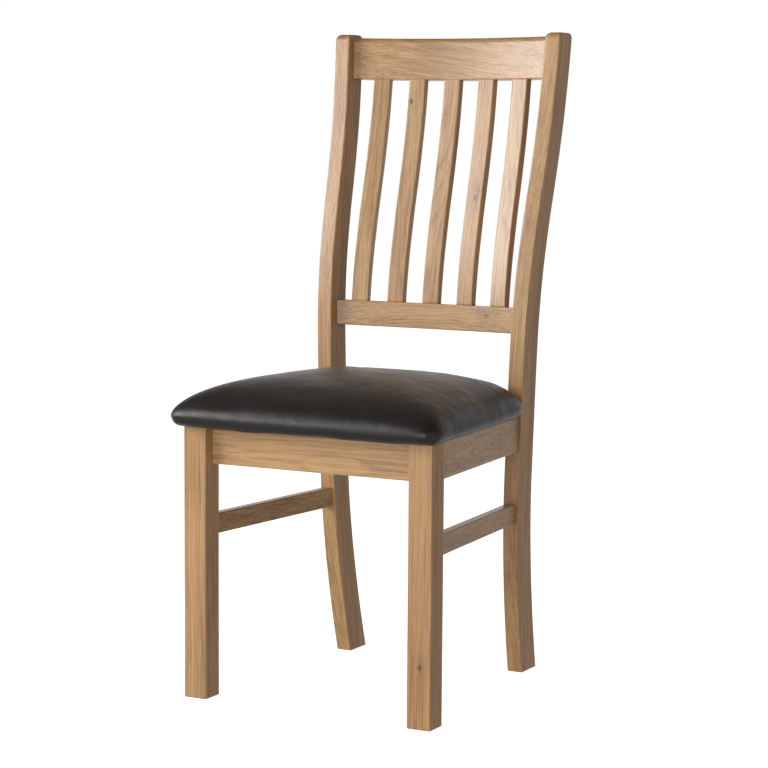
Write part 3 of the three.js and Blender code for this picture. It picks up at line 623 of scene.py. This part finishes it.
PAD_HALF_FRONT, PAD_HALF_BACK = WIDTH / 2 + 20.0, float(post_outer(SEAT_FRAME)) + 11.0
PAD_WIDEST, PAD_CROWN, PAD_TUCK = SEAT_FRAME + 17.0, 61.5, 12.0
CROWN_DRIFT = 42.0                  # how far the crown's top lies behind the pad's middle
BACK_DROP = 2.4                     # how far the leather hangs down in front of the rear rail
BACK_DROP_HALF = (118.0, 132.0)     # where that fades out, towards the rear corner blocks
TRAVEL = 4.0                        # the most that the leather may move when it is softened


def seat_outline(angle, inset, power):
    """The seat's plan at an angle: a rounded square, stretched to the seat's depth and to a
    width that narrows evenly to the back, drawn in by the inset."""
    c, s = np.cos(angle), np.sin(angle)
    reach = (np.abs(c) ** power + np.abs(s) ** power) ** (-1 / power)
    y = PAD_FRONT + inset + (s * reach + 1) / 2 * (PAD_BACK - PAD_FRONT - 2 * inset)
    share = (y - PAD_FRONT) / (PAD_BACK - PAD_FRONT)
    half = PAD_HALF_FRONT + share * (PAD_HALF_BACK - PAD_HALF_FRONT)
    return np.stack([c * reach * (half - inset), y], -1)


def pad_surface(around, rows):
    """The pad as loops round a middle point. A row is (share, inset, height, power): the
    plan at that inset, shrunk to that share of its distance from the middle, which drifts
    back towards the crown. Below its widest row the back is drawn out nearly straight, and
    lowered, between the rear corner blocks."""
    even = np.arange(around) / around * 2 * math.pi
    angle = even + 0.17 * np.sin(4 * even)
    middle = np.array([0.0, (PAD_FRONT + PAD_BACK) / 2])
    loops = []
    for share, inset, height, power in rows:
        drift = np.array([0.0, CROWN_DRIFT * (1 - share) if height > PAD_WIDEST else 0.0])
        plan = middle + drift + share * (seat_outline(angle, inset, power) - middle)
        if share == 1.0 and inset <= PAD_TUCK + 1 and height <= PAD_WIDEST:
            near = smooth(plan[:, 1], PAD_BACK - PAD_TUCK - 6, PAD_BACK - PAD_TUCK - 1.5)
            near = near * (1 - smooth(np.abs(plan[:, 0]), *BACK_DROP_HALF))
            plan[:, 1] += near * (PAD_BACK - plan[:, 1]) * 0.8
            height = height - near * BACK_DROP * (1 - smooth(height, PAD_LOW, PAD_LOW + 7))
        loops.append(np.column_stack([plan, np.broadcast_to(height, around)]))
    ends = np.array([[0, middle[1], rows[0][2]], [0, middle[1] + CROWN_DRIFT, rows[-1][2]]])
    return np.concatenate([*loops, ends]), ring_faces(len(rows), around)


def pad_rows():
    """From the middle of the recess under the pad, out under the board, round the leather's
    turned-under edge, up the tucked side and over the crown."""
    board_top, board_edge, band = SEAT_FRAME + 14.1, 14.2, 36.7
    rows = [(share, board_edge, board_top, 18.0) for share in (0.25, 0.6, 0.9, 0.99, 1.0)]
    rows += [(1.0, board_edge, SEAT_FRAME + 1.6, 18.0), (1.0, band, SEAT_FRAME + 1.6, 18.0),
             (1.0, band, PAD_LOW, 18.0), (1.0, 26.0, PAD_LOW, 18.0),
             (1.0, PAD_TUCK + 1, PAD_LOW, 18.0)]
    for turn in np.radians(np.linspace(12, 90, 9)):
        rows.append((1.0, PAD_TUCK * (1 - math.sin(turn)),
                     PAD_WIDEST - (PAD_WIDEST - PAD_LOW) * math.cos(turn), 18.0))
    for turn in np.radians(np.linspace(4, 88, 34)):
        share = math.cos(turn) ** 0.62
        height = PAD_WIDEST + PAD_CROWN * (1 - share ** 3.5) ** (1 / 1.6)
        rows.append((share, 0.0, height, 7.0 + 11.0 * share ** 3))
    return rows


def corner_folds(points):
    """Gathers at the four corners: ripples across the corner that fade upwards and along the
    sides, deepest at the leather's lower edge, and slow waves along that edge."""
    moved = points.copy()
    y_share = (points[:, 1] - PAD_FRONT) / (PAD_BACK - PAD_FRONT)
    half = PAD_HALF_FRONT + y_share * (PAD_HALF_BACK - PAD_HALF_FRONT)
    low = 1 - smooth(points[:, 2], SEAT_FRAME + 3, SEAT_FRAME + 30)
    side = (points[:, 2] > SEAT_FRAME + 0.4) & (points[:, 2] < SEAT_FRAME + 34)
    for corner_x, corner_y in ((-1, 0), (1, 0), (-1, 1), (1, 1)):
        dx = points[:, 0] - corner_x * (half - 16)
        dy = points[:, 1] - (PAD_FRONT + 16 if corner_y == 0 else PAD_BACK - 16)
        out_x, out_y = corner_x, (-1 if corner_y == 0 else 1)
        angle = np.arctan2(dy * out_y, dx * out_x)
        away = np.hypot(dx, dy)
        inside = (dx * out_x > -3) & (dy * out_y > -3) & (away < 34) & side
        shape = 1 - 2 * np.abs(np.sin((angle - math.pi / 4) * 4.5)) ** 0.7
        turned = smooth(angle, -0.15, 0.25) * (1 - smooth(angle, 1.3, 1.7))
        depth = np.where(inside, low * turned, 0)
        moved[:, 0] += depth * (2.3 * shape - 1.9) * np.cos(angle) * out_x
        moved[:, 1] += depth * (2.3 * shape - 1.9) * np.sin(angle) * out_y
    edge = (1 - smooth(points[:, 2], SEAT_FRAME + 1, SEAT_FRAME + 12)) * side
    x, y = points[:, 0], points[:, 1]
    wave = np.sin(x / 31.0 + 1.0) + 0.6 * np.sin(x / 13.0 + y / 17.0)
    moved[:, 2] += edge * 0.75 * wave
    return moved


def soften(points, faces):
    """Lets the leather find its own shape: a closed skin blown up a little and held under the
    board and near its lower edge, with each point's travel kept under a few millimetres."""
    skin = make_mesh("pad skin", points, faces, LEATHER)
    held = points[:, 2] < SEAT_FRAME + 9
    recess = (points[:, 2] < SEAT_FRAME + 15) & (np.abs(points[:, 0]) < PAD_HALF_BACK - 14)
    recess &= (points[:, 1] > PAD_FRONT + 14) & (points[:, 1] < PAD_BACK - 14)
    group = skin.vertex_groups.new(name="held")
    group.add(np.flatnonzero(held | recess).tolist(), 1.0, "REPLACE")
    cloth = skin.modifiers.new("Cloth", "CLOTH")
    settings = cloth.settings
    settings.vertex_group_mass = "held"
    settings.quality = 6
    settings.use_pressure = True
    settings.uniform_pressure_force = 3.0
    settings.mass = 0.3
    settings.tension_stiffness = settings.compression_stiffness = 30
    settings.shear_stiffness = 20
    settings.bending_stiffness = 4
    settings.effector_weights.gravity = 0
    cloth.collision_settings.use_collision = False
    cloth.point_cache.frame_start, cloth.point_cache.frame_end = 1, 20
    scene = bpy.context.scene
    for step in range(1, 21):
        scene.frame_set(step)
    shaped = skin.evaluated_get(bpy.context.evaluated_depsgraph_get())
    flat = np.empty(len(points) * 3, np.float32)
    shaped.data.vertices.foreach_get("co", flat)
    travel = flat.reshape(-1, 3) / MM - (0, FRONT, 0) - points
    length = np.linalg.norm(travel, axis=1, keepdims=True)
    travel *= TRAVEL * np.tanh(length / TRAVEL) / np.maximum(length, 1e-6)
    mesh = skin.data
    bpy.data.objects.remove(skin)
    bpy.data.meshes.remove(mesh)
    scene.frame_set(1)
    return points + travel


pad_points, pad_faces = pad_surface(208, pad_rows())
pad_points = soften(pad_points, pad_faces)
pad = make_mesh("leather_seat_pad", corner_folds(pad_points), pad_faces, LEATHER)
finer = pad.modifiers.new("Finer", "SUBSURF")
finer.levels = finer.render_levels = 1
carry(pad, "seat_cover", "seat_foam", slot="leather")


# ---- Under the seat -----------------------------------------------------------------------

def staples():
    """Wire staples through the turned-under leather, in a row round the board: each is a
    square wire bar lying flat, in line with the edge, with both its ends bent up."""
    turns = np.linspace(0, 2 * math.pi, 2001)[:-1]
    line = seat_outline(turns, 27.0, 14.0)
    length = np.concatenate([[0], np.cumsum(np.linalg.norm(np.diff(line, axis=0), axis=1))])
    at = np.interp(np.linspace(0, length[-1], 53)[:-1] + 8.0, length, np.arange(len(line)))
    here = line[at.astype(int)]
    heading = line[(at.astype(int) + 6) % len(line)] - here
    heading /= np.linalg.norm(heading, axis=1, keepdims=True)
    outline = np.array([[-5.0, 1.5], [-5.0, -0.1], [-4.6, -0.5], [4.6, -0.5], [5.0, -0.1],
                        [5.0, 1.5], [4.4, 1.5], [4.4, 0.1], [-4.4, 0.1], [-4.4, 1.5]])
    sideways = np.stack([-heading[:, 1], heading[:, 0]], 1)
    run, rise = outline.T
    offset = np.array([-0.6, 0.6])
    plan = (here[:, None, None] + heading[:, None, None] * run[:, None]
            + sideways[:, None, None] * offset[:, None, None])
    height = np.broadcast_to(PAD_LOW - 0.05 + rise, plan.shape[:-1])
    points = np.concatenate([plan, height[..., None]], -1).reshape(-1, 3)
    count = len(outline)
    ring = np.arange(count)
    nxt = (ring + 1) % count
    around = np.stack([ring, nxt, nxt + count, ring + count], 1)
    flat = np.array([(0, 1, 8, 9), (1, 2, 3, 8), (3, 4, 7, 8), (4, 5, 6, 7)])
    both = np.stack([flat[:, ::-1], flat + count], 1).reshape(-1, 4)
    starts = np.arange(len(here)) * 2 * count
    faces = (np.concatenate([around, both]) + starts[:, None, None]).reshape(-1, 4).tolist()
    piece = make_mesh("seat_staples", points, faces, STAPLE_WIRE, smoothed=False)
    piece.data.flip_normals()
    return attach(piece, "root")


staples()
for name, node in NODES.items():
    if node.hide_render:
        continue
    finish = (ZINC if "screw" in name else PLYWOOD if name == "seat_board"
              else DUST_CLOTH if name == "dust_cover" else OAK_HIDDEN)
    node.data.materials.clear()
    node.data.materials.append(finish)


# ---- Floor, light and camera --------------------------------------------------------------

def studio():
    """A white floor in a white room. The room's own light on the chair is dimmer than it
    looks, and falls off from overhead to the right-hand side, as in a studio with flags."""
    paint = Paint("studio floor")
    cloudy = paint.noise(paint.object_place(), (3, 3, 3), 2.0)
    paint.finish(Base_Color=paint.mix(cloudy, (0.93, 0.93, 0.93, 1), (0.95, 0.95, 0.95, 1)),
                 Roughness=0.9)
    paint.surface.inputs["Emission Color"].default_value = (1, 1, 1, 1)
    paint.surface.inputs["Emission Strength"].default_value = 0.85
    edge = np.linspace(-9000.0, 9000.0, 13)
    gx, gy = np.meshgrid(edge, edge, indexing="ij")
    points = np.stack([gx, gy, np.full_like(gx, -0.4)], -1).reshape(-1, 3)
    i, j = np.meshgrid(np.arange(12), np.arange(12), indexing="ij")
    quads = np.stack([i * 13 + j, (i + 1) * 13 + j, (i + 1) * 13 + j + 1, i * 13 + j + 1], -1)
    floor = make_mesh("studio_floor", points, quads.reshape(-1, 4).tolist(), paint.material)
    floor.visible_diffuse = floor.visible_glossy = False
    world = bpy.data.worlds.new("studio")
    world.use_nodes = True
    room = Paint("studio room", world.node_tree)
    x, y, z = room.split(room.out(room.add("ShaderNodeTexCoord"), "Generated"))
    glow = (0.52 - z.between(0.20, 0.65) * 0.38
            + (y - x).between(0.5, 1.2) * (1 - z.between(0.15, 0.45)) * 0.55
            - (x + y).between(1.0, 1.3) * 0.30 + x.between(0.5, 0.95) * 0.22)
    seen = room.out(room.add("ShaderNodeLightPath"), "Is Camera Ray")
    room.feed(room.tree.nodes["Background"].inputs["Strength"], seen * 1.02 + (1 - seen) * glow)
    room.feed(room.tree.nodes["Background"].inputs["Color"], (1, 1, 1, 1))
    bpy.context.scene.world = world


def lamp(name, place, target, size, power, colour=(1, 1, 1)):
    """A soft square lamp at a place, facing a target, in metres."""
    data = bpy.data.lights.new(name, "AREA")
    data.size, data.energy, data.color = size, power, colour
    light = bpy.data.objects.new(name, data)
    light.location = place
    light.rotation_euler = (Vector(target) - Vector(place)).to_track_quat("-Z", "Y").to_euler()
    bpy.context.scene.collection.objects.link(light)


def camera():
    """A long lens in front of the seat and to its right, a little below the chair's top."""
    yaw, pitch, roll = math.radians(28.34), math.radians(6.43), 0.0071
    data = bpy.data.cameras.new("camera")
    data.sensor_width = 36.0
    data.lens = 111.39375
    data.clip_end = 60.0
    eye = bpy.data.objects.new("camera", data)
    level_part = math.cos(pitch)
    ahead = Vector((-math.sin(yaw) * level_part, math.cos(yaw) * level_part, -math.sin(pitch)))
    eye.rotation_mode = "QUATERNION"
    level = ahead.to_track_quat("-Z", "Y")
    eye.rotation_quaternion = level @ Quaternion((0, 0, 1), roll)
    eye.location = Vector((1800.0, -3085.0 + FRONT, 913.0)) * MM
    bpy.context.scene.collection.objects.link(eye)
    bpy.context.scene.camera = eye


studio()
lamp("key", (-2.62, -2.15, 1.85), (0, 0, 0.7), 1.6, 100)
lamp("front fill", (0.1, -3.6, 0.5), (0, 0, 0.42), 1.4, 52)
camera()
bpy.context.scene.view_settings.view_transform = "Standard"
